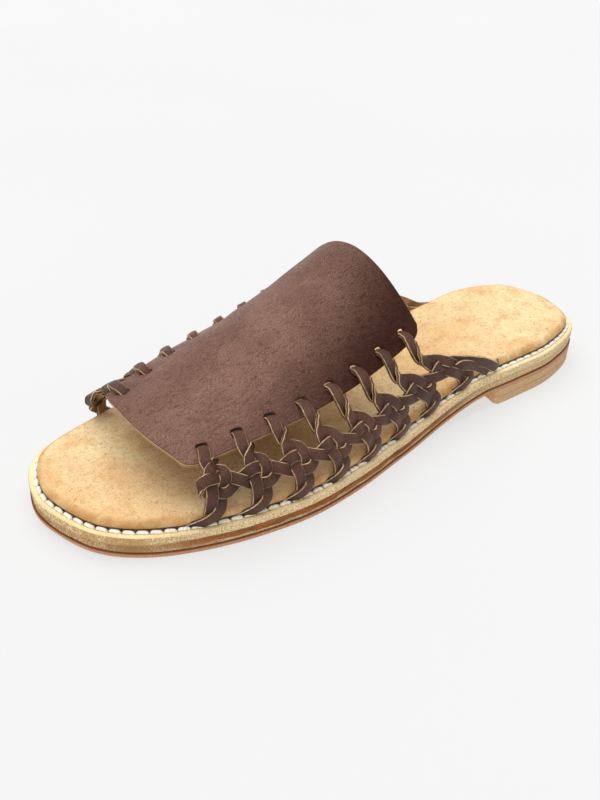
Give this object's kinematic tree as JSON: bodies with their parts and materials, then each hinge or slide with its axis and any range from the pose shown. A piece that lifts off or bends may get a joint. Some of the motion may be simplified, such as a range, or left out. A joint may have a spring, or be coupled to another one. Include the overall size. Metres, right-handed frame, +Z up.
{
  "type": "slide sandal",
  "caption": "Left-foot leather slide sandal: layered sole with low heel and arch, padded insole, arched open-toe vamp held to the sole by a woven braid of flat thongs down each side.",
  "frame": {"origin": "middle of the box around the sandal, on the ground under it", "axes": "+Z up, toe towards -Y and heel towards +Y, outer (lateral) side towards +X"},
  "size_m": [0.0975, 0.2728, 0.0748],
  "materials": {
    "outsole_leather": "satin tan sole leather",
    "midsole_leather": "streaky brown stain on cut leather",
    "welt_leather": "matt natural leather",
    "heel_leather": "satin tan stacked leather",
    "insole_suede": "nappy ochre suede",
    "vamp_leather": "pebbled dark brown full grain with a soft sheen",
    "thong_leather": "smooth dark brown grain with pale cut edges"
  },
  "bodies": {
    "root": {"outsole": "outsole_leather", "midsole": "midsole_leather", "welt": "welt_leather", "heel_lift": "heel_leather", "insole": "insole_suede", "vamp": "vamp_leather", "braid_lateral": "thong_leather", "braid_medial": "thong_leather"}
  },
  "joints": []
}
